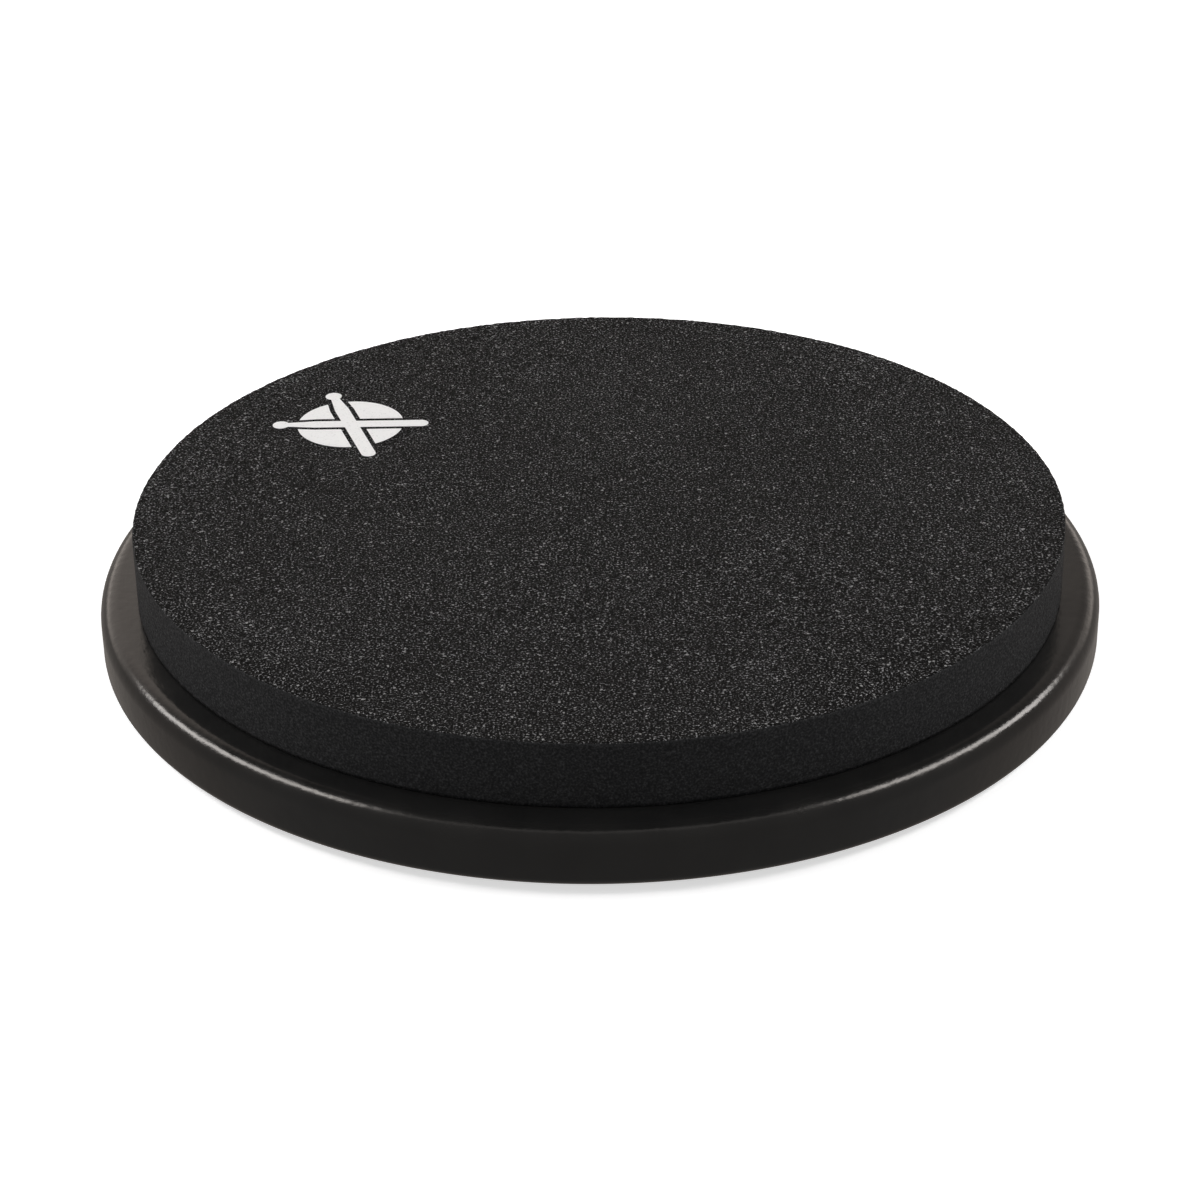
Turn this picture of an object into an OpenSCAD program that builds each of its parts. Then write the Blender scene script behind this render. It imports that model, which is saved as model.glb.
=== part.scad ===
// Drummer's practice pad: a thick foam disc glued on a lacquered round board,
// with a rubber sheet underneath and a threaded insert for a cymbal stand.
// Origin at the middle of the resting plane, +Z up through the playing surface.
// Stack from the bottom: rubber sheet, film, board, film, foam, print.

/* [Base board] */
// Board diameter, the nominal 12 inch size
base_d = 305; // [290:1:360]
// Board thickness
base_t = 18; // [16:1:25]
// Radius of the routed round-over on the top edge
top_round = 6; // [2:0.5:8]
// Radius of the softened bottom edge
bottom_round = 3; // [1:0.5:4]

/* [Foam pad] */
// Foam disc diameter
foam_d = 282; // [200:1:284]
// Foam disc thickness
foam_t = 20; // [8:1:30]

/* [Rubber base sheet] */
// Rubber sheet diameter, set in from the board's edge
rubber_d = 280; // [200:1:284]
// Rubber sheet thickness
rubber_t = 2; // [1:0.5:4]
// Hole in the rubber around the insert
rubber_hole_d = 24; // [19:1:40]

/* [Adhesive films] */
// Thickness of each double-sided film
film_t = 0.2; // [0.1:0.05:0.5]
// How far each film's edge stops short of the disc it holds
film_inset = 1; // [0:0.5:5]

/* [Threaded insert] */
// Flange diameter of the insert nut
flange_d = 17; // [14:0.5:18]
// Flange thickness
flange_t = 1.5; // [1:0.5:3]
// Barrel diameter, the size of the hole in the board
barrel_d = 12; // [10:0.5:13]
// Overall length of the insert
insert_len = 13; // [10:1:14]
// Bore at the crests of the M8 x 1.25 thread
thread_bore_d = 6.8; // [6.6:0.1:7]
// Across the flats of the hexagonal driving socket
hex_af = 8; // [7.5:0.5:8]
// Depth of the driving socket
hex_depth = 4; // [2:0.5:6]
// Depth of the blind hole drilled in the board
board_hole_depth = 15; // [14.5:0.5:15.5]

/* [Printed emblem] */
// Distance of the emblem's middle from the pad's middle
emblem_r = 98; // [40:1:110]
// Direction of the emblem from the pad's middle, from +X
emblem_azimuth = 144; // [0:1:360]
// Diameter of the printed disc
disc_d = 34; // [26:1:40]
// Length of each drumstick
stick_l = 50; // [44:1:60]
// Width of a drumstick's shaft
stick_w = 4.6; // [3:0.2:6]
// Angle of each drumstick from the emblem's upright
stick_lean = 36; // [30:1:60]
// Unprinted line between the drumsticks and the disc
line_w = 1.6; // [0.6:0.1:2]
// Thickness of the ink film
ink_t = 0.1; // [0.05:0.05:0.3]

/* [Hidden] */
// Heights in the stack
board_z = rubber_t + film_t;
board_top_z = board_z + base_t;
foam_z = board_top_z + film_t;
foam_top_z = foam_z + foam_t;
// Hexagon's diameter over its corners
hex_d = hex_af / cos(30);
// Room around the flange in its counterbore, on the diameter
flange_room = 0.4;
// Drumstick outline: neck and bead widths, and the taper's share of the length
neck_w = stick_w * 0.5;
bead_d = stick_w * 1.15;
taper_share = 0.22;
// Cuts run this far past a face
over = 1;
$fn = 160;

// Half section of the board, with both corners rounded
module board_section() {
    difference() {
        square([base_d / 2, base_t]);
        translate([base_d / 2 - top_round, base_t - top_round])
            outside_corner(top_round);
        translate([base_d / 2 - bottom_round, bottom_round])
            mirror([0, 1])
                outside_corner(bottom_round);
    }
}

// What a router bit of radius r takes off a corner
module outside_corner(r) {
    difference() {
        square(r + over);
        circle(r);
    }
}

// A flat ring or, with no hole, a disc
module sheet(outer_d, hole_d, t) {
    difference() {
        cylinder(h = t, d = outer_d);
        if (hole_d > 0)
            translate([0, 0, -over])
                cylinder(h = t + 2 * over, d = hole_d);
    }
}

// Outline of one drumstick, upright and centred, with a margin all round
module drumstick(margin) {
    shaft_r = stick_w / 2 + margin;
    neck_r = neck_w / 2 + margin;
    low = (stick_w - stick_l) / 2;
    high = (stick_l - bead_d) / 2;
    taper = high - stick_l * taper_share;
    polygon([
        [-shaft_r, low],
        [shaft_r, low],
        [shaft_r, taper],
        [neck_r, high],
        [-neck_r, high],
        [-shaft_r, taper],
    ]);
    translate([0, low])
        circle(shaft_r, $fn = 32);
    translate([0, high])
        circle(bead_d / 2 + margin, $fn = 32);
}

// Two drumsticks crossed over the emblem's middle
module crossed_sticks(margin) {
    for (lean = [-stick_lean, stick_lean])
        rotate(lean)
            drumstick(margin);
}

module foam_pad() {
    color([0.17, 0.17, 0.17])
        translate([0, 0, foam_z])
            sheet(foam_d, 0, foam_t);
}

// Crossed drumsticks outlined on a drum's head, printed on the foam
module printed_emblem() {
    color([0.93, 0.93, 0.92])
        rotate(emblem_azimuth - 90)
            translate([0, emblem_r, foam_top_z])
                linear_extrude(ink_t) {
                    difference() {
                        circle(d = disc_d);
                        crossed_sticks(line_w);
                    }
                    crossed_sticks(0);
                }
}

module foam_adhesive() {
    color([0.86, 0.84, 0.76])
        translate([0, 0, board_top_z])
            sheet(foam_d - 2 * film_inset, 0, film_t);
}

module base_board() {
    color([0.13, 0.12, 0.11])
        translate([0, 0, board_z])
            difference() {
                rotate_extrude()
                    board_section();
                translate([0, 0, -over])
                    cylinder(h = board_hole_depth + over, d = barrel_d);
                translate([0, 0, -over])
                    cylinder(h = flange_t + over, d = flange_d + flange_room);
            }
}

// Flanged hex-drive insert nut, its flange flush with the board's underside
module threaded_insert() {
    color([0.72, 0.72, 0.7])
        translate([0, 0, board_z])
            difference() {
                union() {
                    cylinder(h = flange_t, d = flange_d);
                    cylinder(h = insert_len, d = barrel_d);
                }
                translate([0, 0, -over])
                    cylinder(h = insert_len + 2 * over, d = thread_bore_d);
                translate([0, 0, -over])
                    cylinder(h = hex_depth + over, d = hex_d, $fn = 6);
            }
}

module rubber_adhesive() {
    color([0.86, 0.84, 0.76])
        translate([0, 0, rubber_t])
            sheet(rubber_d - 2 * film_inset, rubber_hole_d + 2 * film_inset, film_t);
}

module rubber_base_sheet() {
    color([0.11, 0.11, 0.11])
        sheet(rubber_d, rubber_hole_d, rubber_t);
}

foam_pad();
printed_emblem();
foam_adhesive();
base_board();
threaded_insert();
rubber_adhesive();
rubber_base_sheet();
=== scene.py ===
"""Looks of the practice pad: cut-cell foam disc, printed emblem, lacquered board,
threaded insert and rubber base, in a bright studio. Lengths are in metres."""
import math

import bmesh
import bpy
from mathutils import Matrix, Vector, noise


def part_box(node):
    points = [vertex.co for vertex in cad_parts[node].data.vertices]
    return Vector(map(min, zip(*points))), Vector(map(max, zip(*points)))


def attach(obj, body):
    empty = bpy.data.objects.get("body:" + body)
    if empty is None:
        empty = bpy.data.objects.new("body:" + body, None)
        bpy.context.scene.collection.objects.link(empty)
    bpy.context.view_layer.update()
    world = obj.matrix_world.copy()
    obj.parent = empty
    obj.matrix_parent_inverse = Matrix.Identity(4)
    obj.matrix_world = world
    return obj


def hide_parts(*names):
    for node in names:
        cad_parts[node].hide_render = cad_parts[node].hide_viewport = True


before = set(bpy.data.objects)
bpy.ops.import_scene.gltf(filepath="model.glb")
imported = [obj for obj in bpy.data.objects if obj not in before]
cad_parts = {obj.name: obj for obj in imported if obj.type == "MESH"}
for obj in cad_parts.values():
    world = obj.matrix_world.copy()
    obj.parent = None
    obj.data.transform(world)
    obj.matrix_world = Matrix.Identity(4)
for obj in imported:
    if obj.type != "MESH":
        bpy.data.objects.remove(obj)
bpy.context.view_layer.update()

MM = 0.001
TAU = 2 * math.pi

# Places from the frame
foam_low, foam_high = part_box("foam_pad")
board_low, board_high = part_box("base_board")
insert_low, insert_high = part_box("threaded_insert")
rubber_low, rubber_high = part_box("rubber_base_sheet")
emblem_low, emblem_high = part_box("printed_emblem")

# Sizes that the boxes don't give, as the CAD parts have them
BOARD_TOP_ROUND = 6 * MM
BOARD_BOTTOM_ROUND = 3 * MM
BOARD_HOLE_R = 6 * MM
BOARD_HOLE_DEPTH = 15 * MM
COUNTERBORE_R = 8.7 * MM
FLANGE_T = 1.5 * MM
HEX_HALF_AF = 4 * MM
HEX_DEPTH = 4 * MM
THREAD_CREST_R = 3.4 * MM
THREAD_ROOT_R = 3.95 * MM
THREAD_PITCH = 1.25 * MM
RUBBER_HOLE_R = 12 * MM

# Mesh detail
FOAM_RINGS = 150
FOAM_WALL_ROWS = 20
ROUND_SEGMENTS = 360
INSERT_SEGMENTS = 96
ROWS_PER_PITCH = 8

# Foam rim: how far its first wall row lies under the top
RIM_DROP = 0.25 * MM

# Camera: its lens, and where it stands round the point it looks at
LENS = 91.16
SENSOR_WIDTH = 36
CAMERA_DISTANCE = 0.9417
CAMERA_AZIMUTH = -90
CAMERA_ELEVATION = 28.735
CAMERA_ROLL = -0.812
AIM_HEIGHT = 6.3 * MM

# Studio
FLOOR_HALF = 8.0
BACKDROP_R = 7.5
BACKDROP_HEIGHT = 6.0
BACKDROP_SEGMENTS = 64
SOFTBOX_DISTANCE = 1.2
SOFTBOX_WIDTH = 1.0
SOFTBOX_HEIGHT = 0.27


# ---------------------------------------------------------------- mesh helpers

def add_piece(name, verts, faces, materials, slot, *nodes):
    """A new smooth-shaded mesh piece on the body, standing for CAD nodes."""
    mesh = bpy.data.meshes.new(name)
    mesh.from_pydata(verts, [], faces)
    for material in materials:
        mesh.materials.append(material)
    mesh.validate()
    mesh.shade_smooth()
    piece = bpy.data.objects.new(name, mesh)
    bpy.context.scene.collection.objects.link(piece)
    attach(piece, "root")
    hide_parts(*nodes)
    return piece


def ring(z, radius, count, phase=0.0):
    """Points round the Z axis; radius is a number or a function of the angle."""
    points = []
    for i in range(count):
        angle = TAU * i / count + phase
        r = radius(angle) if callable(radius) else radius
        points.append(Vector((r * math.cos(angle), r * math.sin(angle), z)))
    return points


def bridge(first, second, count):
    """Quads between two rings of count points that start at these indices."""
    return [
        (first + i, first + (i + 1) % count, second + (i + 1) % count, second + i)
        for i in range(count)
    ]


def closed_stack(rings):
    """Vertices and faces of rings bridged in order, the last one to the first."""
    count = len(rings[0])
    verts = [p for points in rings for p in points]
    faces = []
    for k in range(len(rings)):
        faces += bridge(k * count, (k + 1) % len(rings) * count, count)
    return verts, faces


def capped_stack(rings):
    """Vertices and faces of rings bridged in order, each end closed."""
    count = len(rings[0])
    verts = [p for points in rings for p in points]
    faces = []
    for k in range(len(rings) - 1):
        faces += bridge(k * count, (k + 1) * count, count)
    faces.append(tuple(reversed(range(count))))
    faces.append(tuple(range((len(rings) - 1) * count, len(rings) * count)))
    return verts, faces


def mark_sharp(piece, degrees=35):
    """Creases the shading where two faces meet at more than this angle."""
    bm = bmesh.new()
    bm.from_mesh(piece.data)
    limit = math.radians(degrees)
    for edge in bm.edges:
        if len(edge.link_faces) == 2 and edge.calc_face_angle() > limit:
            edge.smooth = False
    bm.to_mesh(piece.data)
    bm.free()


def arc(centre_r, centre_z, radius, start, end, steps):
    """(r, z) points of an arc in the half section, angles in degrees from +r."""
    points = []
    for i in range(steps + 1):
        angle = math.radians(start + (end - start) * i / steps)
        points.append((centre_r + radius * math.cos(angle), centre_z + radius * math.sin(angle)))
    return points


# ---------------------------------------------------------------- node helpers

class Shader:
    """A material with one Principled BSDF and short ways to add nodes to it."""

    def __init__(self, name, color, roughness, **sockets):
        self.material = bpy.data.materials.new(name)
        self.material.use_nodes = True
        self.tree = self.material.node_tree
        self.bsdf = self.tree.nodes["Principled BSDF"]
        self.bsdf.inputs["Base Color"].default_value = (*color, 1)
        self.bsdf.inputs["Roughness"].default_value = roughness
        for socket, value in sockets.items():
            self.bsdf.inputs[socket.replace("_", " ")].default_value = value
        self.place = self.node("ShaderNodeTexCoord").outputs["Object"]

    def node(self, kind, inputs=(), **settings):
        made = self.tree.nodes.new(kind)
        for key, value in settings.items():
            setattr(made, key, value)
        for socket, value in dict(inputs).items():
            self.feed(made.inputs[socket], value)
        return made

    def feed(self, socket, value):
        if isinstance(value, bpy.types.NodeSocket):
            self.tree.links.new(value, socket)
        else:
            socket.default_value = value

    def noise(self, size, detail=2.0, roughness=0.5):
        """Noise whose features are about size metres across."""
        inputs = {
            "Vector": self.place, "Scale": 1 / size,
            "Detail": detail, "Roughness": roughness,
        }
        return self.node("ShaderNodeTexNoise", inputs).outputs["Fac"]

    def cells(self, size, output="Distance", feature="F1"):
        inputs = {"Vector": self.place, "Scale": 1 / size}
        return self.node("ShaderNodeTexVoronoi", inputs, feature=feature).outputs[output]

    def remap(self, value, low, high, to_low, to_high):
        inputs = {
            "Value": value, "From Min": low, "From Max": high,
            "To Min": to_low, "To Max": to_high,
        }
        return self.node("ShaderNodeMapRange", inputs).outputs["Result"]

    def math(self, operation, a, b):
        return self.node("ShaderNodeMath", {0: a, 1: b}, operation=operation).outputs[0]

    def ramp(self, value, *stops):
        made = self.node("ShaderNodeValToRGB", {"Fac": value})
        elements = made.color_ramp.elements
        while len(elements) < len(stops):
            elements.new(0.5)
        for element, (position, color) in zip(elements, stops):
            element.position = position
            element.color = (*color, 1)
        return made.outputs["Color"]

    def mix(self, factor, a, b):
        made = self.node("ShaderNodeMix", data_type="RGBA")
        self.feed(made.inputs[0], factor)
        for socket, value in ((made.inputs[6], a), (made.inputs[7], b)):
            self.feed(socket, value if isinstance(value, bpy.types.NodeSocket) else (*value, 1))
        return made.outputs[2]

    def bump(self, height, depth, strength=1.0, normal=None):
        inputs = {"Height": height, "Distance": depth, "Strength": strength}
        if normal is not None:
            inputs["Normal"] = normal
        return self.node("ShaderNodeBump", inputs).outputs["Normal"]

    def set(self, **sockets):
        for socket, value in sockets.items():
            self.feed(self.bsdf.inputs[socket.replace("_", " ")], value)
        return self.material


# ---------------------------------------------------------------- materials

def foam_material(name, tones, painted_glint_share, pit_depth):
    """Fine cut-cell foam: pits and torn walls under a millimetre, and a painted highlight: rare
    cells coloured light grey as glints.
    """
    s = Shader(name, (0.018, 0.018, 0.018), 0.7, Specular_IOR_Level=0.08)
    grain = s.noise(0.62 * MM, detail=2, roughness=0.6)
    mottle = s.remap(s.noise(26 * MM, detail=4), 0.3, 0.7, -0.008, 0.008)
    places = (0.36, 0.5, 0.6, 0.7)
    stops = [(place, (tone, tone, 1.03 * tone)) for place, tone in zip(places, tones)]
    tone = s.ramp(s.math("ADD", grain, mottle), *stops)
    # Painted highlight: a small share of the cells is coloured light grey to stand for glints.
    pick = s.cells(0.6 * MM, output="Color")
    chance = s.node("ShaderNodeSeparateColor", {"Color": pick}).outputs["Red"]
    painted_glint = s.math("GREATER_THAN", chance, 1 - painted_glint_share)
    return s.set(
        Base_Color=s.mix(painted_glint, tone, (0.3, 0.3, 0.3)),
        Roughness=s.remap(grain, 0.4, 0.7, 0.8, 0.5),
        Normal=s.bump(grain, pit_depth),
    )


def lacquer_material():
    """Satin black lacquer on fibreboard: soft orange peel and fine dust."""
    warm = (1, 0.94, 0.89, 1)
    s = Shader("black_lacquer", (0.012, 0.012, 0.012), 0.2, Specular_Tint=warm)
    peel = s.bump(s.noise(3.2 * MM, detail=2), 0.1 * MM)
    specks = s.noise(0.7 * MM, detail=3, roughness=0.6)
    dust = s.bump(specks, 0.025 * MM, normal=peel)
    haze = s.noise(14 * MM, detail=4)
    tone = s.ramp(haze, (0.3, (0.01, 0.01, 0.01)), (0.7, (0.014, 0.0138, 0.0135)))
    return s.set(Base_Color=tone, Roughness=s.remap(haze, 0.3, 0.7, 0.17, 0.23), Normal=dust)


def print_material():
    """Opaque white print that shows a little of the foam's grain."""
    s = Shader("white_print", (0.8, 0.8, 0.79), 0.55)
    grain = s.noise(0.6 * MM, detail=3)
    tone = s.ramp(grain, (0.25, (0.72, 0.72, 0.72)), (0.42, (0.94, 0.94, 0.94)))
    return s.set(Base_Color=tone, Normal=s.bump(grain, 0.05 * MM, 0.5))


def rubber_material():
    """Matte black rubber sheet with a fine pebbled face."""
    s = Shader("base_rubber", (0.014, 0.014, 0.014), 0.7)
    pebbles = s.cells(1.4 * MM, feature="SMOOTH_F1")
    bloom = s.noise(18 * MM, detail=4)
    tone = s.ramp(bloom, (0.3, (0.011, 0.011, 0.011)), (0.7, (0.02, 0.02, 0.019)))
    return s.set(
        Base_Color=tone,
        Roughness=s.remap(bloom, 0.3, 0.7, 0.62, 0.8),
        Normal=s.bump(pebbles, 0.15 * MM),
    )


def film_material():
    """Yellowish double-sided adhesive film."""
    s = Shader("adhesive_film", (0.5, 0.46, 0.34), 0.35)
    streaks = s.noise(6 * MM, detail=3)
    tone = s.ramp(streaks, (0.3, (0.44, 0.4, 0.29)), (0.7, (0.56, 0.52, 0.39)))
    return s.set(Base_Color=tone, Normal=s.bump(streaks, 0.05 * MM))


def plated_material():
    """Zinc-plated metal with faint tool marks and uneven shine."""
    s = Shader("zinc_plating", (0.62, 0.6, 0.55), 0.3, Metallic=1.0)
    cloud = s.noise(2.5 * MM, detail=4)
    marks = s.noise(0.25 * MM, detail=2)
    tone = s.ramp(cloud, (0.3, (0.5, 0.48, 0.42)), (0.7, (0.7, 0.68, 0.64)))
    return s.set(
        Base_Color=tone,
        Roughness=s.remap(cloud, 0.3, 0.7, 0.24, 0.42),
        Normal=s.bump(marks, 0.01 * MM),
    )


# ---------------------------------------------------------------- pieces

def wobble(x, y, z, size, seed):
    """Smooth noise from -1 to 1 with features about size metres across."""
    return noise.noise(Vector((x / size + seed, y / size - seed, z / size + 2 * seed)))


def foam_pad():
    """Foam disc as rings of 6, 12, 18... points, a wall of rows and a flat base.

    The top is uneven at the scale of its torn cells, its rim is nibbled, and it
    is pressed a little lower where the print lies on it.
    """
    radius = foam_high[0]
    top = foam_high[2]
    bottom = foam_low[2]
    print_x = (emblem_low[0] + emblem_high[0]) / 2
    print_y = (emblem_low[1] + emblem_high[1]) / 2
    print_r = (emblem_high[0] - emblem_low[0]) / 2 + 2 * MM
    step = radius / FOAM_RINGS
    rim_count = 6 * FOAM_RINGS

    def relief(x, y):
        cell = wobble(x, y, 0, 1.6 * MM, 3.1) * 0.16 * MM
        cell += wobble(x, y, 0, 0.9 * MM, 7.7) * 0.12 * MM
        sag = wobble(x, y, 0, 60 * MM, 5.3) * 0.15 * MM
        pressed = math.hypot(x - print_x, y - print_y) < print_r
        return 0.35 * cell + sag - 0.2 * MM if pressed else cell + sag - 0.05 * MM

    def rim(angle, z):
        x, y = math.cos(angle) * radius, math.sin(angle) * radius
        wavy = wobble(x, y, 0, 45 * MM, 1.9) * 0.2 * MM
        torn = wobble(x, y, z, 1.5 * MM, 4.7) * 0.2 * MM
        return radius + wavy + torn - 0.1 * MM

    verts = [Vector((0, 0, top))]
    for k in range(1, FOAM_RINGS + 1):
        edge = k == FOAM_RINGS
        for i in range(6 * k):
            angle = TAU * i / (6 * k)
            r = rim(angle, top) - 0.15 * MM if edge else k * step
            x, y = r * math.cos(angle), r * math.sin(angle)
            if not edge:
                x += wobble(x, y, 0, 1.1 * MM, 9.1) * 0.4 * step
                y += wobble(x, y, 0, 1.1 * MM, 12.3) * 0.4 * step
            verts.append(Vector((x, y, top + relief(x, y))))

    faces = [(0, 1 + i, 1 + (i + 1) % 6) for i in range(6)]
    for k in range(1, FOAM_RINGS):
        inner = 1 + 3 * k * (k - 1)
        outer = inner + 6 * k
        for sector in range(6):
            for j in range(k + 1):
                a = outer + sector * (k + 1) + j
                b = outer + (sector * (k + 1) + j + 1) % (6 * (k + 1))
                c = inner + (sector * k + j) % (6 * k)
                faces.append((a, b, c))
                if j < k:
                    d = inner + (sector * k + j + 1) % (6 * k)
                    faces.append((c, b, d))
    top_faces = len(faces)

    previous = len(verts) - rim_count
    for row in range(FOAM_WALL_ROWS + 1):
        z = top - RIM_DROP - (top - RIM_DROP - bottom) * row / FOAM_WALL_ROWS
        start = len(verts)
        verts += ring(z, lambda angle: rim(angle, z), rim_count)
        faces += bridge(start, previous, rim_count)
        previous = start
    faces.append(tuple(reversed(range(previous, previous + rim_count))))

    materials = [
        # The top gets a 0.009 share of painted glint cells; the wall gets none.
        foam_material("foam_top", (0.0008, 0.002, 0.03, 0.38), 0.009, 0.4 * MM),
        foam_material("foam_wall", (0.02, 0.03, 0.044, 0.066), 0.0, 0.15 * MM),
    ]
    piece = add_piece("foam_disc", verts, faces, materials, "foam", "foam_pad")
    for polygon in piece.data.polygons[top_faces:]:
        polygon.material_index = 1
    return piece


def base_board():
    """Board as a lathe of its half section, with an open insert pocket below."""
    radius = board_high[0]
    bottom, top = board_low[2], board_high[2]
    pocket_top = bottom + BOARD_HOLE_DEPTH
    section = [
        (BOARD_HOLE_R, pocket_top),
        (BOARD_HOLE_R, bottom + FLANGE_T),
        (COUNTERBORE_R, bottom + FLANGE_T),
        (COUNTERBORE_R, bottom),
        (radius * 0.5, bottom),
    ]
    low, high = BOARD_BOTTOM_ROUND, BOARD_TOP_ROUND
    section += arc(radius - low, bottom + low, low, -90, 0, 8)
    section += arc(radius - high, top - high, high, 0, 90, 14)
    section += [(radius * 0.5, top)]
    rings = [ring(z, r, ROUND_SEGMENTS) for r, z in section]
    verts, faces = capped_stack(rings)
    materials = [lacquer_material()]
    piece = add_piece("lacquered_board", verts, faces, materials, "lacquered_board", "base_board")
    mark_sharp(piece)
    return piece


def rubber_sheet():
    """Rubber ring-shaped sheet with slightly rounded cut edges."""
    bottom, top = rubber_low[2], rubber_high[2]
    outer = rubber_high[0]
    cut = 0.3 * MM
    section = [(RUBBER_HOLE_R, top)]
    section += arc(RUBBER_HOLE_R + cut, bottom + cut, cut, 180, 270, 3)
    section += arc(outer - cut, bottom + cut, cut, -90, 0, 3)
    section += [(outer, top)]
    rings = [ring(z, r, ROUND_SEGMENTS) for r, z in section]
    verts, faces = closed_stack(rings)
    materials = [rubber_material()]
    piece = add_piece("rubber_sheet", verts, faces, materials, "base_rubber", "rubber_base_sheet")
    mark_sharp(piece, 50)
    return piece


def insert_nut():
    """Flanged insert nut: hexagonal socket at the mouth, helical thread beyond."""
    count = INSERT_SEGMENTS
    bottom, top = insert_low[2], insert_high[2]
    flange_r = insert_high[0]
    chamfer = 0.25 * MM
    socket_end = bottom + HEX_DEPTH

    def hexagon(angle):
        sixth = TAU / 6
        return HEX_HALF_AF / math.cos((angle % sixth) - sixth / 2)

    def thread(z):
        def radius(angle):
            turn = (z / THREAD_PITCH - angle / TAU) % 1
            flank = min(1, max(0, 1.5 * (1 - abs(2 * turn - 1)) - 0.2))
            return THREAD_CREST_R + (THREAD_ROOT_R - THREAD_CREST_R) * flank
        return radius

    rings = [
        ring(bottom, lambda angle: hexagon(angle) + chamfer, count),
        ring(bottom, flange_r - chamfer, count),
        ring(bottom + chamfer, flange_r, count),
        ring(bottom + FLANGE_T, flange_r, count),
        ring(bottom + FLANGE_T, BOARD_HOLE_R, count),
        ring(top - chamfer, BOARD_HOLE_R, count),
        ring(top, BOARD_HOLE_R - chamfer, count),
    ]
    rows = round((top - socket_end) / THREAD_PITCH * ROWS_PER_PITCH)
    for row in range(rows + 1):
        z = top + (socket_end - top) * row / rows
        rings.append(ring(z, thread(z), count))
    rings.append(ring(socket_end, hexagon, count))
    rings.append(ring(bottom + chamfer, hexagon, count))
    verts, faces = closed_stack(rings)
    materials = [plated_material()]
    piece = add_piece("insert_nut", verts, faces, materials, "plated_insert", "threaded_insert")
    mark_sharp(piece)
    return piece


def repaint(node, material):
    """A CAD node that keeps its shape gets a better material."""
    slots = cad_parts[node].material_slots
    for slot in slots:
        slot.material = material


# ---------------------------------------------------------------- studio

def aim(thing, place, target, roll=0.0):
    """Stands a camera or lamp at a place, looking at a target."""
    look = (Vector(target) - Vector(place)).to_track_quat("-Z", "Y")
    turn = look.to_matrix().to_4x4() @ Matrix.Rotation(roll, 4, "Z")
    thing.matrix_world = Matrix.Translation(place) @ turn


def polar(distance, azimuth, elevation, height=0.0):
    """A place at this distance; azimuth from +X and elevation in degrees."""
    a, e = math.radians(azimuth), math.radians(elevation)
    level = distance * math.cos(e)
    return (level * math.cos(a), level * math.sin(a), distance * math.sin(e) + height)


def add_camera():
    data = bpy.data.cameras.new("camera")
    data.lens = LENS
    data.sensor_width = SENSOR_WIDTH
    data.clip_start = 0.01
    camera = bpy.data.objects.new("camera", data)
    bpy.context.scene.collection.objects.link(camera)
    place = polar(CAMERA_DISTANCE, CAMERA_AZIMUTH, CAMERA_ELEVATION, AIM_HEIGHT)
    aim(camera, place, (0, 0, AIM_HEIGHT), math.radians(CAMERA_ROLL))
    bpy.context.scene.camera = camera


def softbox(name, azimuth, elevation, radiance, roll):
    """A long strip light that faces the pad, turned by roll degrees about its aim."""
    data = bpy.data.lights.new(name, "AREA")
    data.shape = "RECTANGLE"
    data.size = SOFTBOX_WIDTH
    data.size_y = SOFTBOX_HEIGHT
    data.energy = radiance * math.pi * SOFTBOX_WIDTH * SOFTBOX_HEIGHT
    lamp = bpy.data.objects.new(name, data)
    bpy.context.scene.collection.objects.link(lamp)
    place = polar(SOFTBOX_DISTANCE, azimuth, elevation)
    aim(lamp, place, (0, 0, 0), math.radians(roll))


def add_stage_piece(name, verts, faces, shader):
    """A part of the set that the lacquer and foam neither mirror nor bounce."""
    mesh = bpy.data.meshes.new(name)
    mesh.from_pydata(verts, [], faces)
    mesh.materials.append(shader.material)
    piece = bpy.data.objects.new(name, mesh)
    bpy.context.scene.collection.objects.link(piece)
    piece.visible_glossy = False
    piece.visible_diffuse = False
    return piece


def add_floor():
    """A white table top."""
    h = FLOOR_HALF
    corners = [(-h, -h, 0), (h, -h, 0), (h, h, 0), (-h, h, 0)]
    tone = (0.85, 0.85, 0.85)
    s = Shader("table_white", tone, 0.9, Specular_IOR_Level=0.0, Emission_Strength=0.6)
    add_stage_piece("floor", corners, [(0, 1, 2, 3)], s)


def add_backdrop():
    """A pale round wall far behind, which doesn't shade the pad either."""
    count = BACKDROP_SEGMENTS
    verts = ring(-0.1, BACKDROP_R, count) + ring(BACKDROP_HEIGHT, BACKDROP_R, count)
    tone = (0.0, 0.0, 0.0)
    s = Shader("backdrop_white", tone, 1.0, Specular_IOR_Level=0.0, Emission_Strength=0.9)
    wall = add_stage_piece("backdrop", verts, bridge(0, count, count), s)
    wall.visible_shadow = False


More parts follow.
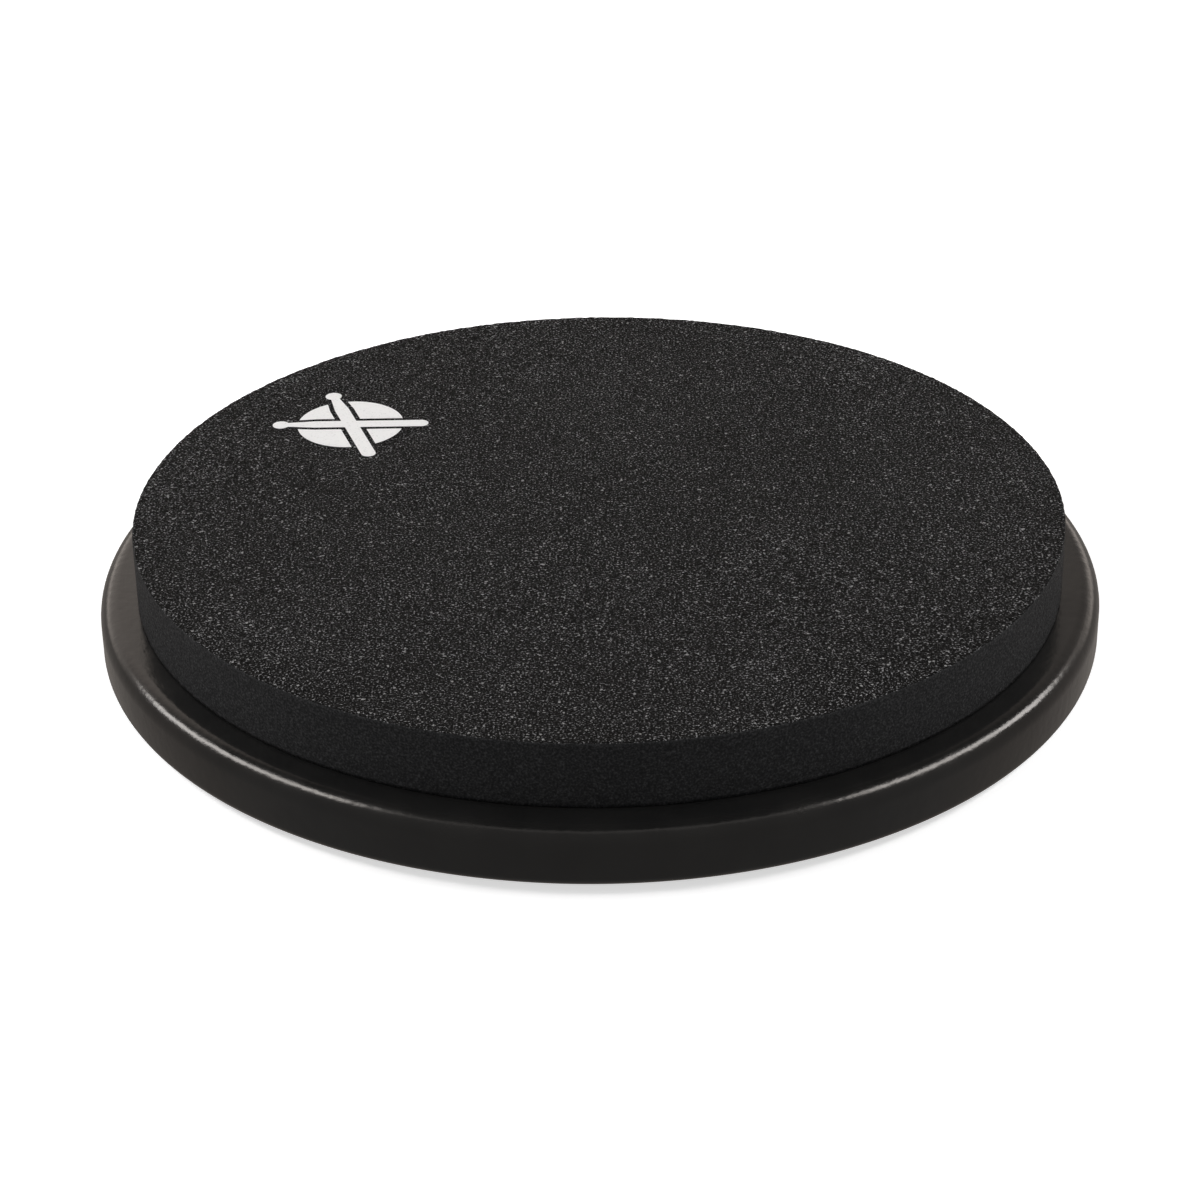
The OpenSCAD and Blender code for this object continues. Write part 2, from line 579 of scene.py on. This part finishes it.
def add_surroundings():
    """World light by direction, for what the lacquer mirrors.

    A warm wall and brighter horizon at the back, a dim table all round, a soft arc
    of light round a dark ceiling, and an even fill from the front.
    """
    world = bpy.data.worlds.new("studio")
    world.use_nodes = True
    bpy.context.scene.world = world
    tree = world.node_tree
    background = tree.nodes["Background"]
    way = tree.nodes.new("ShaderNodeTexCoord").outputs["Generated"]
    split = tree.nodes.new("ShaderNodeSeparateXYZ")
    tree.links.new(way, split.inputs[0])

    def ramp(value, low, high, to_low, to_high):
        made = tree.nodes.new("ShaderNodeMapRange")
        made.interpolation_type = "SMOOTHSTEP"
        tree.links.new(value, made.inputs["Value"])
        numbers = {"From Min": low, "From Max": high, "To Min": to_low, "To Max": to_high}
        for name, number in numbers.items():
            made.inputs[name].default_value = number
        return made.outputs["Result"]

    def combine(operation, a, b):
        made = tree.nodes.new("ShaderNodeMath")
        made.operation = operation
        for socket, value in zip(made.inputs, (a, b)):
            if isinstance(value, bpy.types.NodeSocket):
                tree.links.new(value, socket)
            else:
                socket.default_value = value
        return made.outputs[0]

    x, y, z = split.outputs
    table = combine("MULTIPLY", ramp(y, -0.85, -0.1, 0.45, 0.6), ramp(x, -0.3, 0.3, 0.2, 0.5))
    table = combine("MULTIPLY", ramp(z, -0.3, -0.15, 1, 0), table)
    under = ramp(z, -0.95, -0.6, 0.05, 1)
    back = combine("MULTIPLY", ramp(y, 0.35, 0.75, 0, 1), ramp(x, -0.3, 0.3, 0.84, 0.28))
    back = combine("MULTIPLY", back, ramp(z, 0.02, 0.14, 0, 1))
    horizon = combine("MULTIPLY", ramp(z, 0.02, 0.1, 0, 1), ramp(z, 0.16, 0.3, 1, 0))
    horizon = combine("MULTIPLY", horizon, ramp(y, 0.5, 0.8, 0, 1.6))
    back = combine("MAXIMUM", back, horizon)
    tilt = combine("ADD", combine("MULTIPLY", y, 0.468), combine("MULTIPLY", z, 0.884))
    hoop = combine("MULTIPLY", ramp(tilt, 0.4, 0.64, 0, 0.75), ramp(tilt, 0.655, 0.675, 1, 0.03))
    sides = combine("MULTIPLY", combine("MAXIMUM", table, back), under)
    fill = ramp(tilt, 0.5, 0.66, 0.28, 0.03)
    light = combine("MAXIMUM", sides, combine("MAXIMUM", hoop, fill))
    tree.links.new(light, background.inputs["Strength"])
    warmth = tree.nodes.new("ShaderNodeMix")
    warmth.data_type = "RGBA"
    tree.links.new(ramp(y, -0.4, 0.3, 0, 1), warmth.inputs[0])
    warmth.inputs[6].default_value = (1, 1, 1, 1)
    warmth.inputs[7].default_value = (1, 0.91, 0.84, 1)
    tree.links.new(warmth.outputs[2], background.inputs["Color"])


# ---------------------------------------------------------------- the scene

foam_pad()
base_board()
insert_nut()
rubber_sheet()
repaint("printed_emblem", print_material())
film = film_material()
repaint("foam_adhesive", film)
repaint("rubber_adhesive", film)

add_camera()
add_floor()
add_backdrop()
add_surroundings()
softbox("left_softbox", 176, 38, 9, 38)
softbox("right_softbox", 4, 38, 8.5, -38)
bpy.context.scene.view_settings.view_transform = "Standard"
